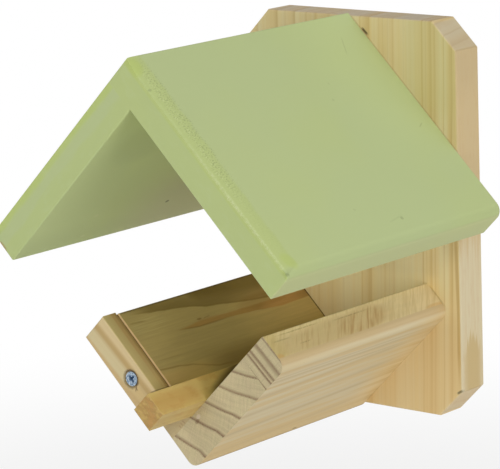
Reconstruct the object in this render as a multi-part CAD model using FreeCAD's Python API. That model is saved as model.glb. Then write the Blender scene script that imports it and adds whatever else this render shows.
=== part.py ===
import FreeCAD, Part
import os
from FreeCAD import Vector

# A wall-hung wooden holder for a peanut butter jar that lies on its side for garden birds.
# A pine back board carries a gable roof of two painted boards and a V-shaped cradle of two more.
# A square stick lies in the corner of the V and stands out in front as a perch.
# A turning wooden latch on the front of the cradle swings across to keep the jar in.
#
# Frame, in millimetres: the origin is the centre of the back board's rear face, on the wall.
# +Z is up, +X is to the right of somebody who faces the holder, and the front looks along -Y.

# Back board
board_width = 125.0
board_height = 190.0
board_thickness = 18.0
board_corner_cut = 13.5
board_ease = 1.0
wall_hole_radius = 2.5
wall_hole_spacing = 70.0
wall_hole_drop = 45.0

# Roof: slopes are measured on the outer faces, from the ridge to the eave
roof_slope = 124.0
roof_depth = 158.0
roof_thickness = 16.7
roof_rise = 1.3
roof_eave_round = 5.0
roof_ease = 0.8

# The right board's upper front edge is sanded over by hand: how far back from the front face, how
# deep at that face by the ridge, further down and at the eave, how far from the ridge it is at its
# deepest, and what share of the depth is reached halfway
roof_front_run = 8.0
roof_front_drops = (0.9, 2.5, 1.6)
roof_front_start = 12.0
roof_front_bow = 0.3

# Cradle: legs are measured on the inner faces, from the corner of the V to their top edges
cradle_leg = 60.6
cradle_depth = 124.0
cradle_thickness = 18.0
cradle_corner_height = 21.5
cradle_round = 5.0
cradle_ease = 0.5

# Perch
perch_side = 12.3
perch_reach = 30.2
perch_ease = 0.5

# Latch: it lies along the left leg, over the front end of the board
latch_length = 46.0
latch_width = 16.0
latch_thickness = 9.0
latch_overhang = 1.2
latch_long_arm = 30.8
latch_gap = 0.3
latch_ease = 0.8
latch_sink_radius = 3.9
latch_head_sink = 0.3

# Screws: countersunk, with a right-angled cone under the head
long_screw_length = 50.0
long_screw_radius = 2.0
long_head_radius = 4.0
latch_screw_length = 30.0
latch_screw_radius = 1.75
latch_head_radius = 3.4
head_rim = 0.3
head_sink = 0.3
screw_point = 5.0
screw_tip_radius = 0.3
recess_span_share = 0.58
recess_width_share = 0.17
recess_depth_share = 0.5
recess_floor_share = 0.35
wood_gap = 0.02
running_gap = 0.05

# Headless pins of flat wire with a chisel point
pin_width = 1.4
pin_thickness = 1.1
pin_point = 2.0
pin_length = 36.0
pin_sink = 0.8
perch_pin_share = 0.7

# Places of the fasteners, from the ridge or from the corner of the V, and along the depth
roof_screw_places = (46.0, 80.0)
cradle_screw_places = (24.0, 48.0)
ridge_pin_inset = 22.0
cradle_pin_inset = 22.0
perch_pin_inset = 42.0

# Worked out from the above
board_front = -board_thickness
board_top = board_height / 2
ridge_height = board_top + roof_rise
cradle_corner = -board_height / 2 + cradle_corner_height
cradle_front = board_front - cradle_depth
roof_front = board_front - roof_depth
latch_back = cradle_front - latch_gap
latch_front = latch_back - latch_thickness
latch_top = cradle_leg + latch_overhang
latch_pivot = latch_top - latch_long_arm
leg_middle = cradle_thickness / 2
roof_middle = roof_thickness / 2
cut_margin = 1.0


# Shared shapes

def edge_middle(low, high, sides):
    """The middle of the box edge that lies on the two named sides, such as "x+ z-"."""
    point = (low + high) / 2
    for side in sides.split():
        corner = high if side[1] == "+" else low
        setattr(point, side[0], getattr(corner, side[0]))
    return point


def nearest_edge(solid, point):
    """The edge of a solid that passes closest to a point."""
    target = Part.Vertex(point)
    return min(solid.Edges, key=lambda edge: edge.distToShape(target)[0])


def plank(low, high, *rounds):
    """A box between two corners. Each of rounds is a radius and the edges that get it, in turn."""
    size = high - low
    solid = Part.makeBox(size.x, size.y, size.z, low)
    for radius, names in rounds:
        edges = [nearest_edge(solid, edge_middle(low, high, name)) for name in names]
        solid = solid.makeFillet(radius, edges)
    return solid


def turned(shape, degrees, height):
    """A shape modelled square on, turned about the depth axis and lifted to its height."""
    copy = shape.copy()
    copy.rotate(Vector(0, 0, 0), Vector(0, 1, 0), degrees)
    copy.translate(Vector(0, 0, height))
    return copy


def in_roof(shape):
    """From the roof's square frame: X runs down the right slope and -Z down the left one."""
    return turned(shape, 45, ridge_height)


def in_cradle(shape):
    """From the cradle's square frame: X runs up the right leg and Z up the left one."""
    return turned(shape, -45, cradle_corner)


def spun(outline):
    """A solid of revolution about the Y axis, from points given as radius and height."""
    points = [Vector(radius, height, 0) for radius, height in outline]
    face = Part.Face(Part.makePolygon(points + points[:1]))
    return face.revolve(Vector(0, 0, 0), Vector(0, 1, 0), 360)


def cross_recess(head):
    """Two tapered blades that cross in the head of a screw."""
    span = head * recess_span_share
    width = head * recess_width_share
    depth = head * recess_depth_share
    floor_span = span * recess_floor_share
    floor_width = width * recess_floor_share
    blade = Part.makeWedge(
        -floor_span, -depth, -floor_width, -width, -span,
        floor_span, 0, floor_width, width, span)
    other = blade.copy()
    other.rotate(Vector(0, 0, 0), Vector(0, 1, 0), 90)
    return blade.fuse(other)


def screw(length, shank, head):
    """A countersunk screw whose head lies in the plane y = 0 and whose point looks along -Y."""
    outline = [
        (0, 0),
        (head, 0),
        (head, -head_rim),
        (shank, -head_rim - (head - shank)),
        (shank, screw_point - length),
        (screw_tip_radius, -length),
        (0, -length),
    ]
    return spun(outline).cut(cross_recess(head))


def screw_hole(length, shank, head, mouth):
    """What is drilled and countersunk for that screw, opened by a mouth above its head."""
    hole = shank + wood_gap
    depth = head_rim + head - shank
    outline = [
        (0, mouth),
        (hole + depth + mouth, mouth),
        (hole, -depth),
        (hole, -length - wood_gap),
        (0, -length - wood_gap),
    ]
    return spun(outline)


def pin(gap, length, foot, degrees):
    """A headless pin, or its slot with a gap, that stands on its foot and is then turned from +Z."""
    half = pin_thickness / 2 + gap
    tip = length + gap
    shoulder = tip - pin_point
    outline = [(-half, 0), (half, 0), (half, shoulder), (0, tip), (-half, shoulder)]
    points = [Vector(x, -pin_width / 2 - gap, z) for x, z in outline]
    face = Part.Face(Part.makePolygon(points + points[:1]))
    shape = face.extrude(Vector(0, pin_width + 2 * gap, 0))
    shape.rotate(Vector(0, 0, 0), Vector(0, 1, 0), degrees)
    return moved(shape, foot.x, foot.y, foot.z)


def moved(shape, x, y, z):
    copy = shape.copy()
    copy.translate(Vector(x, y, z))
    return copy


# Fasteners through the back board

def roof_screw_spots():
    """The roof screws' places in the roof's square frame, right board first."""
    right = [(place, -roof_middle) for place in roof_screw_places]
    left = [(roof_middle, -place) for place in roof_screw_places]
    return right + left


def cradle_screw_spots():
    """The cradle screws' places in the cradle's square frame, right leg first."""
    right = [(place, -leg_middle) for place in cradle_screw_places]
    left = [(-leg_middle, place) for place in cradle_screw_places]
    return right + left


def at_spots(shape, spots, frame):
    """Copies of a screw or its hole at its places in a square frame, heads sunk in the rear face."""
    return [frame(moved(shape, x, -head_sink, z)) for x, z in spots]


def long_screws(spots, frame):
    return at_spots(screw(long_screw_length, long_screw_radius, long_head_radius), spots, frame)


def long_holes(spots, frame):
    hole = screw_hole(long_screw_length, long_screw_radius, long_head_radius, 2 * head_sink)
    return at_spots(hole, spots, frame)


# Pins across the corner joints, driven from the long board into the short one's end

def spread(front, back, inset, count):
    """Depths of a row of pins, the outer ones an inset from the two ends."""
    first = front + inset
    last = back - inset
    return [first + (last - first) * step / (count - 1) for step in range(count)]


def ridge_pins(gap):
    depths = spread(roof_front, board_front, ridge_pin_inset, 3)
    return [pin(gap, pin_length, Vector(roof_middle, y, -pin_sink), 180) for y in depths]


def cradle_pins(gap):
    foot = pin_sink - cradle_thickness
    depths = spread(cradle_front, board_front, cradle_pin_inset, 3)
    return [pin(gap, pin_length, Vector(-leg_middle, y, foot), 0) for y in depths]


def perch_pins(gap):
    foot = pin_sink - cradle_thickness
    length = cradle_thickness - pin_sink + perch_side * perch_pin_share
    depths = spread(cradle_front, board_front, perch_pin_inset, 2)
    return [pin(gap, length, Vector(foot, y, perch_side / 2), 90) for y in depths]


# Back board

def back_board():
    """An upright board with its corners cut off, drilled for the wall and for its eight screws."""
    half = board_width / 2
    top = board_height / 2
    cut = board_corner_cut
    quarter = [(half - cut, top), (half, top - cut)]
    corners = quarter + [(x, -z) for x, z in reversed(quarter)]
    corners += [(-x, z) for x, z in reversed(corners)]
    points = [Vector(x, 0, z) for x, z in corners]
    outline = Part.makePolygon(points + points[:1])
    board = Part.Face(outline).extrude(Vector(0, board_front, 0))
    rims = [edge for edge in board.Edges if abs(edge.tangentAt(edge.FirstParameter).y) < 0.5]
    board = board.makeFillet(board_ease, rims)
    drill = [
        Part.makeCylinder(
            wall_hole_radius, 2 * board_thickness, Vector(0, board_thickness / 2, z), Vector(0, -1, 0))
        for z in wall_hole_heights()]
    holes = long_holes(roof_screw_spots(), in_roof) + long_holes(cradle_screw_spots(), in_cradle)
    return board.cut(drill + holes)


def wall_hole_heights():
    upper = board_top - wall_hole_drop
    return (upper, upper - wall_hole_spacing)


# Roof, modelled in its square frame

def front_edge_section(x, drop):
    """Across the right board at one place down the slope: what its upper front edge has lost."""
    above = cut_margin
    ahead = roof_front - cut_margin
    behind = roof_front + roof_front_run
    foot = Vector(x, roof_front, -drop)
    middle = Vector(x, roof_front + roof_front_run / 2, -drop * roof_front_bow)
    corners = [foot, Vector(x, ahead, -drop), Vector(x, ahead, above), Vector(x, behind, above),
               Vector(x, behind, 0)]
    lines = [Part.makeLine(start, end) for start, end in zip(corners, corners[1:])]
    return Part.Wire(lines + [Part.Arc(corners[-1], middle, foot).toShape()])


def sanded_front_edge():
    """The sanding bites deeper a little below the ridge and gets shallower towards the eave."""
    places = (-cut_margin, roof_front_start, roof_slope + cut_margin)
    sections = [front_edge_section(x, drop) for x, drop in zip(places, roof_front_drops)]
    return Part.makeLoft(sections, True, True)


def inner_front_ease():
    """The small rounding of the right board's lower front edge, which stops at the ridge joint."""
    length = roof_slope - roof_thickness + cut_margin
    low = Vector(roof_thickness, roof_front - cut_margin, -roof_thickness - cut_margin)
    block = Part.makeBox(length, cut_margin + roof_ease, cut_margin + roof_ease, low)
    axis = Vector(roof_thickness, roof_front + roof_ease, roof_ease - roof_thickness)
    return block.cut(Part.makeCylinder(roof_ease, length, axis, Vector(1, 0, 0)))


def roof_board_right():
    """The long roof board: its top end shows on the left slope."""
    solid = plank(
        Vector(0, roof_front, -roof_thickness), Vector(roof_slope, board_front, 0),
        (roof_eave_round, ["x+ z+"]),
        (roof_ease, ["x+ y-", "x- y-", "x- z+", "x+ z-"]))
    solid = solid.cut([sanded_front_edge(), inner_front_ease()])
    return in_roof(solid).cut(roof_cuts())


def roof_board_left():
    """The short roof board: it butts under the right one at the ridge."""
    solid = plank(
        Vector(0, roof_front, -roof_slope), Vector(roof_thickness, board_front, -roof_thickness),
        (roof_eave_round, ["x- z-"]),
        (roof_ease, ["x- y-", "x+ z-", "x+ y-"]))
    return in_roof(solid).cut(roof_cuts())


def roof_cuts():
    """Pilot holes of the screws from behind, and of the pins at the ridge."""
    pins = [in_roof(shape) for shape in ridge_pins(wood_gap)]
    return long_holes(roof_screw_spots(), in_roof) + pins


# Cradle, modelled in its square frame

def cradle_board_right():
    """The long leg: it runs on under the left leg, flush with that leg's outer face."""
    solid = plank(
        Vector(-cradle_thickness, cradle_front, -cradle_thickness), Vector(cradle_leg, board_front, 0),
        (cradle_round, ["x+ z-", "x- z-"]),
        (cradle_ease, ["x+ z+"]))
    return in_cradle(solid).cut(cradle_cuts())


def cradle_board_left():
    """The short leg: it stands on the inner face of the long one and takes the latch's screw."""
    solid = plank(
        Vector(-cradle_thickness, cradle_front, 0), Vector(0, board_front, cradle_leg),
        (cradle_round, ["x- z+"]),
        (cradle_ease, ["x+ z+"]))
    return in_cradle(solid).cut(cradle_cuts() + [latch_screw_hole()])


def cradle_cuts():
    """Pilot holes of the screws from behind, and of the pins at the corner and in the perch."""
    pins = cradle_pins(wood_gap) + perch_pins(wood_gap)
    return long_holes(cradle_screw_spots(), in_cradle) + [in_cradle(shape) for shape in pins]


def perch():
    """A square stick in the corner of the V, from the back board to well in front of the cradle."""
    solid = plank(
        Vector(0, cradle_front - perch_reach, 0), Vector(perch_side, board_front, perch_side),
        (perch_ease, ["x+ z+", "x- y-", "y- z-", "x+ y-", "y- z+"]))
    pins = [in_cradle(shape) for shape in perch_pins(wood_gap)]
    return in_cradle(solid).cut(pins)


# Latch

def facing_front(shape):
    """A screw or hole turned to point at the wall and set at the latch's pivot."""
    copy = shape.copy()
    copy.rotate(Vector(0, 0, 0), Vector(0, 0, 1), 180)
    return in_cradle(moved(copy, -leg_middle, latch_front + latch_head_sink, latch_pivot))


def latch_screw():
    return facing_front(screw(latch_screw_length, latch_screw_radius, latch_head_radius))


def latch_screw_hole():
    """The pilot hole in the end of the left leg."""
    return facing_front(screw_hole(latch_screw_length, latch_screw_radius, latch_head_radius, 0))


def latch():
    """A small block that turns about its screw, its long arm up along the left leg at rest."""
    low = Vector(-leg_middle - latch_width / 2, latch_front, latch_top - latch_length)
    high = Vector(-leg_middle + latch_width / 2, latch_back, latch_top)
    block = plank(low, high, (latch_ease, ["y- z+", "y- z-", "x- y-", "x+ y-"]))
    bore = latch_screw_radius + running_gap
    sink_floor = head_rim + latch_head_radius - latch_screw_radius
    outline = [
        (0, 2 * latch_head_sink),
        (latch_sink_radius, 2 * latch_head_sink),
        (latch_sink_radius, -head_rim),
        (bore, -sink_floor - (latch_sink_radius - latch_head_radius)),
        (bore, -2 * latch_thickness),
        (0, -2 * latch_thickness),
    ]
    return in_cradle(block).cut(facing_front(spun(outline)))


# Every piece by its node's name
parts = {
    "back_board": back_board(),
    "roof_board_right": roof_board_right(),
    "roof_board_left": roof_board_left(),
    "cradle_board_right": cradle_board_right(),
    "cradle_board_left": cradle_board_left(),
    "perch": perch(),
    "latch": latch(),
    "latch_screw": latch_screw(),
    "roof_screws": Part.makeCompound(long_screws(roof_screw_spots(), in_roof)),
    "cradle_screws": Part.makeCompound(long_screws(cradle_screw_spots(), in_cradle)),
    "ridge_pins": Part.makeCompound([in_roof(shape) for shape in ridge_pins(0)]),
    "cradle_pins": Part.makeCompound([in_cradle(shape) for shape in cradle_pins(0)]),
    "perch_pins": Part.makeCompound([in_cradle(shape) for shape in perch_pins(0)]),
}

os.makedirs("parts", exist_ok=True)
for name, shape in parts.items():
    shape.exportStep("parts/" + name + ".step")
    box = shape.BoundBox
    print(name, len(shape.Solids), shape.isValid(), round(shape.Volume, 1),
          [round(v, 2) for v in (box.XMin, box.YMin, box.ZMin, box.XMax, box.YMax, box.ZMax)])
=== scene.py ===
# %% [markdown]
# # A wall-hung holder for a peanut butter jar
#
# The real object is a back board of pine, a gable roof of two painted boards, a V-shaped cradle of
# two boards, a square perch and a small turning latch. Their shapes are already right, so this
# lesson is about finish: wood that is drawn in three dimensions, so that a board's faces and its
# sawn end agree, paint that is thin at the edges, and a zinc-plated screw. It starts by loading the
# shapes.

# %% Load the frame
import functools
import math

import bmesh
import bpy
from mathutils import Matrix, Vector


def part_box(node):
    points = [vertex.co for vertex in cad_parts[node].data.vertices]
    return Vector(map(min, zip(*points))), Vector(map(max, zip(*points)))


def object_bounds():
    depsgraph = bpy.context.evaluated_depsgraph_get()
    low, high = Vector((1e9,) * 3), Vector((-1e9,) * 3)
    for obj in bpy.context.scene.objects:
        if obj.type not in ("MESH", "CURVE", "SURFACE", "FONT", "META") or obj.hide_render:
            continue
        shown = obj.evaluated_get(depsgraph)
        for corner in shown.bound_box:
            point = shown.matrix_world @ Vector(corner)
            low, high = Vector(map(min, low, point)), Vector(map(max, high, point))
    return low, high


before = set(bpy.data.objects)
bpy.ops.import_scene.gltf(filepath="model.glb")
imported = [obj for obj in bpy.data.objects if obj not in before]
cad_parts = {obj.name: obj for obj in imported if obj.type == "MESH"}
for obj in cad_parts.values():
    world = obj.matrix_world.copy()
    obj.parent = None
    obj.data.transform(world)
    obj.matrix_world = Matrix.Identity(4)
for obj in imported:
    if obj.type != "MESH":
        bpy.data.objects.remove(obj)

solid_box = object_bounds()
print("solid box in metres:", [round(value, 4) for corner in solid_box for value in corner])

MILLIMETRE = 0.001
HALF_ROOT = math.sqrt(0.5)


# %% [markdown]
# ## A short way to write materials
#
# A finish is a small network of nodes, and formulas are the clearest way to say what it does.
# `Amount` wraps one output of a node, so that sums and products in Python add Math nodes.

# %% Sums and products
class Amount:
    """One output of a node, with Python's operators."""

    def __init__(self, finish, socket):
        self.finish = finish
        self.socket = socket

    def math(self, operation, first, second=0):
        return self.finish.node("ShaderNodeMath", {"operation": operation}, {0: first, 1: second})

    def __add__(self, other):
        return self.math("ADD", self, other)

    def __radd__(self, other):
        return self.math("ADD", other, self)

    def __sub__(self, other):
        return self.math("SUBTRACT", self, other)

    def __rsub__(self, other):
        return self.math("SUBTRACT", other, self)

    def __mul__(self, other):
        return self.math("MULTIPLY", self, other)

    def __rmul__(self, other):
        return self.math("MULTIPLY", other, self)

    def __truediv__(self, other):
        return self.math("DIVIDE", self, other)

    def __abs__(self):
        return self.math("ABSOLUTE", self)

    def root(self):
        return self.math("SQRT", self)

    def turn(self, other):
        """The angle of a point whose two coordinates are self and other, in radians."""
        return self.math("ARCTAN2", self, other)

    def most(self, other):
        return self.math("MAXIMUM", self, other)


print("sums and products ready")


# %% [markdown]
# `Value` adds words to that, so that a formula can be read aloud. `smooth`, `near` and `levels`,
# and later `spot` and `scratch`, say where something is, in millimetres. `mix` and `shade` say what
# happens to the colour there. Any other node comes from `Finish.node`, which sets its settings
# first, because some of them decide which sockets it has.

# %% Words for places and colours
class Value(Amount):
    """An amount, a colour or a vector, and what can be asked of it."""

    def smooth(self, low, high):
        """0 below low, 1 above high, and a soft step between them."""
        return self.finish.node("ShaderNodeMapRange", {"interpolation_type": "SMOOTHSTEP"},
                                {"Value": self, "From Min": low, "From Max": high})

    def near(self, place, half, core=0.35):
        """1 where the value is at a place, falling softly to 0 at half a width from it."""
        return 1 - abs(self - place).smooth(half * core, half)

    def levels(self, stops):
        """Levels between given stops, each a place in millimetres and the level there."""
        low, high = stops[0][0] - 1, stops[-1][0] + 1
        spread = [((place - low) / (high - low), (level, level, level, 1))
                  for place, level in stops]
        return self.finish.node("ShaderNodeValToRGB", {"stops": spread},
                                {"Fac": (self - low) / (high - low)})

    def course(self, points):
        """Where a line lies across a board as it runs along it, through given points."""
        low = min(height for _, height in points)
        rise = max(height for _, height in points) - low
        shares = [(place, (height - low) / rise) for place, height in points]
        return low + rise * self.levels(shares)

    def relief(self, depth, strength):
        """A bump from heights: height 1 stands this depth above height 0, in metres."""
        return self.finish.node("ShaderNodeBump", None,
                                {"Height": self, "Distance": depth, "Strength": strength})

    def mix(self, share, colour):
        """This colour with a share of another laid over it."""
        return self.finish.mix(share, self, colour)

    def shade(self, factor):
        """This colour made darker or lighter, or this vector made longer."""
        return self.finish.node("ShaderNodeVectorMath", {"operation": "SCALE"},
                                {0: self, "Scale": factor})

    def reach(self, axis):
        """How far a vector goes along an axis."""
        return self.finish.node("ShaderNodeVectorMath", {"operation": "DOT_PRODUCT"},
                                {0: self, 1: tuple(axis)}, "Value")

    def length(self):
        return self.finish.node("ShaderNodeVectorMath", {"operation": "LENGTH"}, {0: self}, "Value")


print("words of a value:", ", ".join(name for name in vars(Value) if name[0] != "_"))


# %% A finish
class Finish:
    """A node tree under construction, of a material or of the world."""

    def __init__(self, tree):
        self.tree = tree

    def node(self, kind, settings=None, inputs=None, output=0):
        made = self.tree.nodes.new(kind)
        for name, value in (settings or {}).items():
            if name == "stops":
                fill_ramp(made.color_ramp, value)
            else:
                setattr(made, name, value)
        for key, value in (inputs or {}).items():
            if isinstance(value, Value):
                self.tree.links.new(value.socket, made.inputs[key])
            else:
                made.inputs[key].default_value = value
        return Value(self, made.outputs[output])

    def position(self):
        """Where the shaded point lies, in metres."""
        return self.node("ShaderNodeTexCoord", output="Object")

    def normal(self):
        """Which way the surface looks at that point."""
        return self.node("ShaderNodeTexCoord", output="Normal")

    def point(self, x, y, z):
        return self.node("ShaderNodeCombineXYZ", None, {0: x, 1: y, 2: z})

    def noise(self, place, detail=2, roughness=0.5):
        """Cloudy values about 0.5, one cloud to each unit of a place, a vector or three values."""
        point = place if isinstance(place, Value) else self.point(*place)
        return self.node("ShaderNodeTexNoise", None,
                         {"Vector": point, "Scale": 1, "Detail": detail, "Roughness": roughness})

    def mix(self, share, first, second):
        """A colour between two colours, each a value or three numbers as on a paint card."""
        first, second = (colour if isinstance(colour, Value) else tint(*colour)
                         for colour in (first, second))
        return self.node("ShaderNodeMix", {"data_type": "RGBA"}, {0: share, 6: first, 7: second}, 2)


print("words of a finish:", ", ".join(name for name in vars(Finish) if name[0] != "_"))


# %% Spots, scratches and the strongest of several
def spot(*sides, core=0.3, rim=1.6):
    """1 in a soft oval spot. Each side is a distance from its middle and a half width."""
    total = 0
    for distance, half in sides:
        total = total + (distance / half) * (distance / half)
    return 1 - total.smooth(core, rim)


def scratch(first, second, start, end, half):
    """1 along a thin mark from start to end, both of them pairs in millimetres."""
    run, climb = end[0] - start[0], end[1] - start[1]
    length = math.hypot(run, climb)
    run, climb = run / length, climb / length
    gone = (first - start[0]) * run + (second - start[1]) * climb
    aside = (second - start[1]) * run - (first - start[0]) * climb
    return aside.near(0, half) * gone.near(length / 2, length / 2 + half)


def strongest(values):
    """At each point, the greatest of several values."""
    return functools.reduce(Value.most, values)


print("spots and scratches ready")


# %% Ramps, colours and shaders
def fill_ramp(ramp, stops):
    """Gives a colour ramp its stops, each a position from 0 to 1 and a colour."""
    while len(ramp.elements) > 1:
        ramp.elements.remove(ramp.elements[-1])
    ramp.elements[0].position, ramp.elements[0].color = stops[0]
    for position, colour in stops[1:]:
        ramp.elements.new(position).color = colour


def tint(red, green, blue):
    """A colour written as on a paint card, 0 to 255, turned into the linear colour of a shader."""
    parts = [value / 255 for value in (red, green, blue)]
    return tuple(p / 12.92 if p <= 0.04045 else ((p + 0.055) / 1.055) ** 2.4 for p in parts) + (1,)


def new_finish(name):
    """A material with its one shader, ready to be fed."""
    material = bpy.data.materials.new(name)
    material.use_nodes = True
    shader = next(node for node in material.node_tree.nodes if node.type == "BSDF_PRINCIPLED")
    return material, Finish(material.node_tree), shader


def feed(finish, shader, **sources):
    """Links values to the shader's sockets, or sets them where they are plain numbers."""
    for name, value in sources.items():
        socket = shader.inputs[name.replace("_", " ")]
        if isinstance(value, Value):
            finish.tree.links.new(value.socket, socket)
        else:
            socket.default_value = value


print("mid grey, 128 on a paint card, is", round(tint(128, 128, 128)[0], 2), "in a shader")


# %% [markdown]
# ## Where a point lies in its board
#
# Wood grain follows the board, not the room, and the roof and cradle boards are turned by 45
# degrees. Each board therefore gets an origin and three axes: along the grain, across the board's
# face and through its thickness. Every formula below is written in millimetres along those axes.
# The ridge and the corner of the V are eased, so their sharp lines lie a little beyond the solids'
# highest and lowest points.

# %% The boards' own axes
class Board:
    """A board's corner, in millimetres, and its three directions."""

    def __init__(self, origin, along, across, through):
        self.origin = Vector(origin)
        self.along = Vector(along)
        self.across = Vector(across)
        self.through = Vector(through)

    def place(self, finish):
        """Along, across and through, in millimetres, of the point that is being shaded."""
        point = finish.position()
        return [point.reach(axis / MILLIMETRE) - axis.dot(self.origin)
                for axis in (self.along, self.across, self.through)]

    def faces(self, finish, axis, askew=0.6, square=0.95):
        """1 where the surface looks along the axis, 0 where it looks elsewhere."""
        return finish.normal().reach(axis).smooth(askew, square)


print("words of a board:", ", ".join(name for name in vars(Board) if name[0] != "_"))


# %% Where each board lies
RIGHT_UP = Vector((HALF_ROOT, 0, HALF_ROOT))
LEFT_UP = Vector((-HALF_ROOT, 0, HALF_ROOT))
DEPTH = Vector((0, 1, 0))
UP = Vector((0, 0, 1))
RIGHT = Vector((1, 0, 0))

back_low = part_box("back_board")[0]
perch_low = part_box("perch")[0]
roof_low, roof_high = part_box("roof_board_right")
cradle_low, cradle_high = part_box("cradle_board_right")
latch_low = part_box("latch")[0]
sharper = math.sqrt(2) - 1  # a sharp corner stands out by this share of the radius that eases it
ridge_round, stick_round = 0.8, 0.5
cradle_corner = perch_low.z / MILLIMETRE - stick_round * sharper
ridge = (0, roof_low.y / MILLIMETRE, roof_high.z / MILLIMETRE + ridge_round * sharper)
cradle_front = (0, cradle_low.y / MILLIMETRE, cradle_corner)

back = Board((0, back_low.y / MILLIMETRE, 0), UP, RIGHT, DEPTH)
right_leg = Board(cradle_front, DEPTH, RIGHT_UP, LEFT_UP)
left_leg = Board(cradle_front, DEPTH, LEFT_UP, RIGHT_UP)
stick = Board((0, perch_low.y / MILLIMETRE, cradle_corner), DEPTH, RIGHT_UP, LEFT_UP)
turning = Board((0, latch_low.y / MILLIMETRE, cradle_corner), LEFT_UP, RIGHT_UP, DEPTH)
right_slope = Board(ridge, DEPTH, -LEFT_UP, RIGHT_UP)
left_slope = Board(ridge, DEPTH, -RIGHT_UP, LEFT_UP)
print("corner of the cradle at", round(cradle_corner, 1), "mm, ridge at", round(ridge[2], 1), "mm")


# %% [markdown]
# ## Pine
#
# A pine board is cut from a cone of growth rings: pale wood that grew in spring, then a thin dark
# line of summer wood. A picture on each face would break at the edges, so the rings are a field in
# space: a formula gives each point its distance in millimetres across the rings, and dark lines lie
# at chosen distances. A line then runs down the face and turns over the edge into the end grain by
# itself. Finer things are noises on a stretched place: 0.06 along and 2.4 across, for one, gives
# fibres some 17 mm long and 0.4 mm wide.

# %% Ring lines
ramp_span = 18  # millimetres of rings on one ramp, because a ramp holds 32 stops
least_gap = 0.05


def ring_lines(distance, marks, softer=0):
    """Dark lines across the rings. A mark is a place, a strength, and how it starts and stops."""
    groups = [[]]
    for place, strength, rise, drop in marks:
        if groups[-1] and place - groups[-1][0][0] > ramp_span:
            groups.append([])
        groups[-1].append((place, strength, rise + softer, drop + softer))
    ramps = []
    for group in groups:
        stops = [(group[0][0] - group[0][2] - 1, 0)]
        for place, strength, rise, drop in group:
            start = max(stops[-1][0] + least_gap, place - rise)
            stops += [(start, 0), (place, strength), (place + drop, 0)]
        ramps.append(stops)
    return strongest(distance.levels(stops) for stops in ramps)


print("ring lines: at most", ramp_span, "mm of them on one ramp")


# %% The sawn end of a pine board
end_softer = 0.35


def sawn_pine(finish, place, distance, round_them, marks, colours, ends):
    """The colour of end grain, with the rings as dark arcs, and its speckles alone."""
    along, across, through = place
    ray = finish.noise((round_them * 1.8, distance * 0.10, along * 0.1), 2, 0.6)
    speckle = finish.noise((along * 0.5, across * 2.4, through * 2.4), 2, 0.7)
    thin_rings = finish.noise((distance * 0.9, round_them * 0.04, 5), 2, 0.7)
    stain = finish.noise((along * 0.1, across * 0.22, through * 0.22), 2)
    lines = ring_lines(distance + (speckle - 0.5) * 1.6, marks, end_softer)
    wood = finish.mix(stain.smooth(0.42, 0.62) * 0.4, colours["end"], colours["stain"])
    wood = wood.mix(lines * (0.4 + 1.3 * ray), colours["end_line"])
    return wood.shade(1 + ends * (speckle + 0.7 * ray + 0.8 * thin_rings - 1.25)), speckle


print("end grain: its ring lines are", end_softer, "mm softer than on a face")


# %% Planed pine
matt_gloss = 0.28
pine_depth = 0.1 * MILLIMETRE


def pine(name, board, rings, marks, colours, wander=1, ends=0.35, faint=1, softer=0, touches=None):
    """Planed softwood. rings gives the distance across the growth rings, and round them.

    faint and softer weaken and widen the lines on the faces, where the rings are cut at a slant.
    """
    material, finish, shader = new_finish(name)
    along, across, through = board.place(finish)
    waver = finish.noise((along * 0.012, across * 0.05, through * 0.05), 1) - 0.5
    ripple = finish.noise((along * 0.06, across * 0.25, through * 0.25), 1) - 0.5
    distance, round_them = rings(finish, along, across, through)
    distance = distance + waver * (4 * wander) + ripple * (1.2 * wander)
    lines = ring_lines(distance, marks, softer) * faint
    bands = finish.noise((distance * 0.30, along * 0.004, 0), 2)
    fine = finish.noise((distance * 1.6, along * 0.010, 3), 2, 0.6)
    fibre = finish.noise((along * 0.06, across * 2.4, through * 2.4), 2, 0.6)
    cloud = finish.noise((along * 0.02, across * 0.06, through * 0.06 + 7), 2)
    duct = finish.noise((along * 0.35, across * 4, through * 4 + 11), 0)
    sawn_end = board.faces(finish, board.along).most(board.faces(finish, -board.along))

    gold = (bands * 0.7 + cloud * 0.3).smooth(0.35, 0.68)
    face = finish.mix(gold, colours["pale"], colours["deep"])
    face = face.mix(lines * (1.1 - 0.5 * fine), colours["line"])
    face = face.mix(duct.smooth(0.80, 0.88) * 0.35, colours["line"])
    face = face.shade(0.93 + 0.09 * fine + 0.06 * fibre)
    end_face, speckle = sawn_pine(finish, (along, across, through), distance, round_them,
                                  marks, colours, ends)
    tone = face.mix(sawn_end, end_face)
    roughness = 0.56 + 0.12 * fibre + 0.14 * sawn_end
    height = fibre * 0.4 - lines * 0.3 + speckle * sawn_end
    if touches:
        tone, height = touches(finish, along, across, through, tone, height)
    feed(finish, shader, Base_Color=tone, Normal=height.relief(pine_depth, 0.5),
         Roughness=roughness, Specular_IOR_Level=matt_gloss)
    return material


print("pine: fibres and rings stand", round(pine_depth / MILLIMETRE, 2), "mm high")


# %% [markdown]
# ## The back board
#
# Its growth rings stand square to its face, so the face shows straight, close vertical lines, with
# a few golden bands where the summer wood is wide. The rings' distance is therefore simply the
# distance from the board's middle. The bands are wider zones of colour, placed where the real
# board has them.

# %% Back board rings
def upright_rings(finish, along, across, through):
    return across - along * 0.02 + through * 0.10, through


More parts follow.
